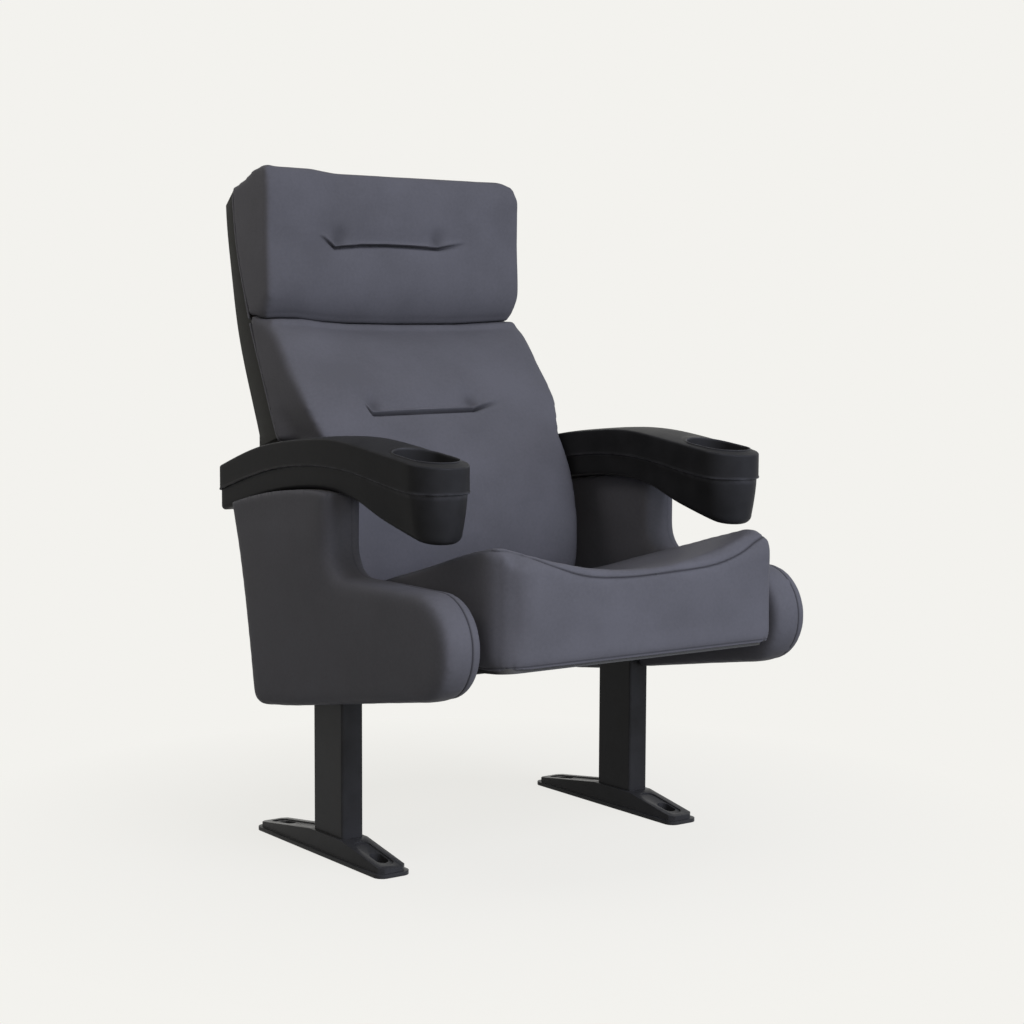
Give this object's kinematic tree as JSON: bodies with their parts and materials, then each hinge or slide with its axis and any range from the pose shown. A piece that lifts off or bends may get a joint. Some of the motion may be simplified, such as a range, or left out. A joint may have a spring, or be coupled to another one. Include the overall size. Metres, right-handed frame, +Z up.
{
  "type": "cinema recliner seat",
  "caption": "Upholstered auditorium armchair on two floor standards, with cup-holder armrests, a leaning back and a seat that glides forward with it.",
  "frame": {"origin": "on the floor, at the middle of the width and depth of the whole seat", "axes": "+Z up, the seat faces -Y, +X to the right of a viewer who stands in front of it"},
  "size_m": [0.692, 0.818, 1.08],
  "materials": {
    "upholstery": "smooth slate grey artificial leather",
    "arm_plastic": "satin near-black moulding",
    "shell_plastic": "fine textured dark grey moulding",
    "standard_paint": "semi-gloss black powder coat",
    "frame_steel": "matt black paint",
    "zinc_steel": "bright zinc plated",
    "plywood": "raw plywood",
    "rubber": "matt black",
    "nylon": "natural nylon"
  },
  "bodies": {
    "standards": {"armrest_screws": "zinc_steel", "channel_glides": "nylon", "front_cross_tube": "frame_steel", "left_armrest_cap": "arm_plastic", "left_armrest_casing": "arm_plastic", "left_column": "standard_paint", "left_foot": "standard_paint", "left_panel_core": "plywood", "left_panel_pad": "upholstery", "left_pivot_housing": "zinc_steel", "left_seat_channel": "frame_steel", "left_side_plate": "frame_steel", "left_torsion_spring": "rubber", "panel_bolts": "zinc_steel", "rear_cross_tube": "frame_steel", "right_armrest_cap": "arm_plastic", "right_armrest_casing": "arm_plastic", "right_column": "standard_paint", "right_foot": "standard_paint", "right_panel_core": "plywood", "right_panel_pad": "upholstery", "right_pivot_housing": "zinc_steel", "right_seat_channel": "frame_steel", "right_side_plate": "frame_steel", "right_torsion_spring": "rubber", "seat_buffers": "rubber", "side_plate_bolts": "zinc_steel"},
    "seat": {"seat_pan": "frame_steel", "seat_cushion": "upholstery", "left_seat_runner": "frame_steel", "right_seat_runner": "frame_steel", "runner_screws": "zinc_steel", "left_seat_link_bracket": "frame_steel", "right_seat_link_bracket": "frame_steel", "lower_link_pins": "zinc_steel"},
    "back": {"back_cushion": "upholstery", "head_cushion": "upholstery", "back_board": "plywood", "back_shell": "shell_plastic", "lower_back_tube": "frame_steel", "middle_back_tube": "frame_steel", "upper_back_tube": "frame_steel", "left_back_side_bar": "frame_steel", "right_back_side_bar": "frame_steel", "shell_screws": "zinc_steel", "left_pivot_pin": "zinc_steel", "right_pivot_pin": "zinc_steel", "pivot_nuts": "zinc_steel", "upper_link_pins": "zinc_steel"},
    "left_link": {"left_synchro_link": "frame_steel"},
    "right_link": {"right_synchro_link": "frame_steel"}
  },
  "joints": [
    {"name": "back_recline", "type": "hinge", "parent": "standards", "child": "back", "pos_m": [0, 0.219, 0.5], "axis": [-1, 0, 0], "range_deg": [0, 12], "stiffness_Nm_per_rad": 60, "springref_deg": -17.19},
    {"name": "seat_glide", "type": "slide", "parent": "standards", "child": "seat", "axis": [0, -0.9962, 0.0872], "range_m": [0, 0.02931]},
    {"name": "left_link_swing", "type": "hinge", "parent": "back", "child": "left_link", "pos_m": [-0.203, 0.156, 0.322], "axis": [-1, 0, 0], "range_deg": [-19.06, 0]},
    {"name": "right_link_swing", "type": "hinge", "parent": "back", "child": "right_link", "pos_m": [0.203, 0.156, 0.322], "axis": [-1, 0, 0], "range_deg": [-19.06, 0]}
  ],
  "couplings": [
    {"joint": "seat_glide", "follows": "back_recline", "m_per_rad": 0.139},
    {"joint": "left_link_swing", "follows": "back_recline", "ratio": -1.58},
    {"joint": "right_link_swing", "follows": "back_recline", "ratio": -1.58}
  ]
}
